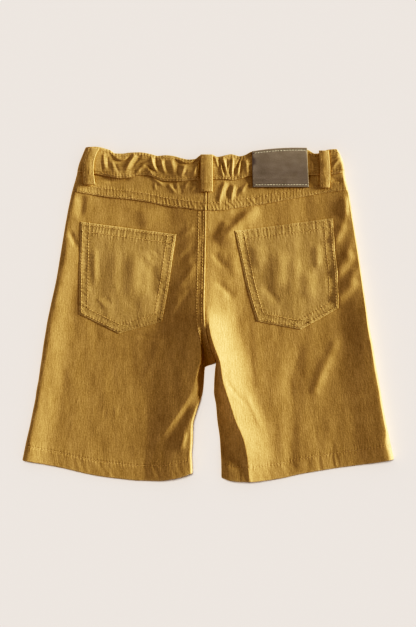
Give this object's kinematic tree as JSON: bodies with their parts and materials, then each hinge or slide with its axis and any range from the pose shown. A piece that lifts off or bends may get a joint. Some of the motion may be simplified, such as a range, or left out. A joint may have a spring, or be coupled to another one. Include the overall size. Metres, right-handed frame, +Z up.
{
  "type": "denim shorts",
  "caption": "Child's mustard denim shorts laid flat with the back up: yokes, patch pockets, belt loops, gathered waistband and a bare brown patch.",
  "frame": {"origin": "middle of the garment's outline, on the surface it lies on", "axes": "+X to the leg that is on the right as seen from above, +Y to the waist, +Z up off the surface, with the garment's back facing up"},
  "size_m": [0.372, 0.3348, 0.0174],
  "materials": {
    "denim": "matt mustard twill with fine lengthwise slubs, paler where it is worn",
    "patch_hide": "matt brown suede-like hide, left bare"
  },
  "bodies": {
    "root": {"front_left": "denim", "front_right": "denim", "waistband_front": "denim", "back_left": "denim", "back_right": "denim", "yoke_left": "denim", "yoke_right": "denim", "waistband_back": "denim", "pocket_left": "denim", "pocket_right": "denim", "loop_left": "denim", "loop_centre": "denim", "loop_right": "denim", "patch": "patch_hide"}
  },
  "joints": []
}
